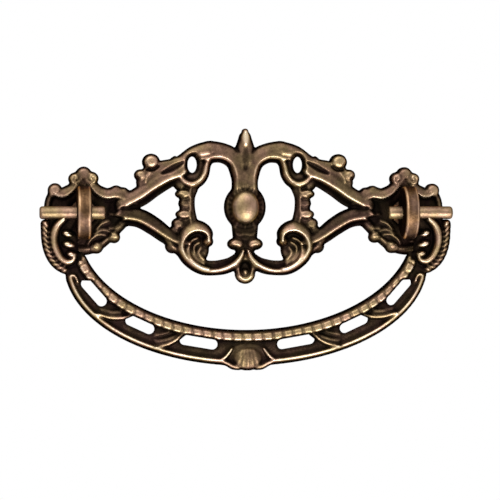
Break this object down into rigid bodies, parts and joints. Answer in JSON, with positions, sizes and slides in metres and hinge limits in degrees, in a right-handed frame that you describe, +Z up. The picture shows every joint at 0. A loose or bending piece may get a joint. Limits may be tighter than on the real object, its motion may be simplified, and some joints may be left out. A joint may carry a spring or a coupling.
{
  "type": "drawer pull",
  "caption": "Cast brass drawer pull: a pierced scrollwork backplate, and a beaded, pierced bail that swings on inward pins in drilled posts bolted through the drawer front.",
  "frame": {"origin": "on the drawer face, midway between the posts, at the height of the bail's pins", "axes": "+Y into the drawer along the posts, +X along the drawer front, +Z up; the front of the pull faces -Y"},
  "size_m": [0.0968, 0.0382, 0.0569],
  "materials": {
    "aged_brass": "antiqued casting, dark hollows and worn bright edges",
    "turned_brass": "turned and darkened"
  },
  "bodies": {
    "mounting": {"backplate": "aged_brass", "right_post": "turned_brass", "left_post": "turned_brass", "right_nut": "turned_brass", "left_nut": "turned_brass"},
    "handle": {"bail": "aged_brass"}
  },
  "joints": [
    {"name": "bail_swing", "type": "hinge", "parent": "mounting", "child": "handle", "pos_m": [0, -0.0072, 0], "axis": [-1, 0, 0], "range_deg": [-6, 180]}
  ]
}
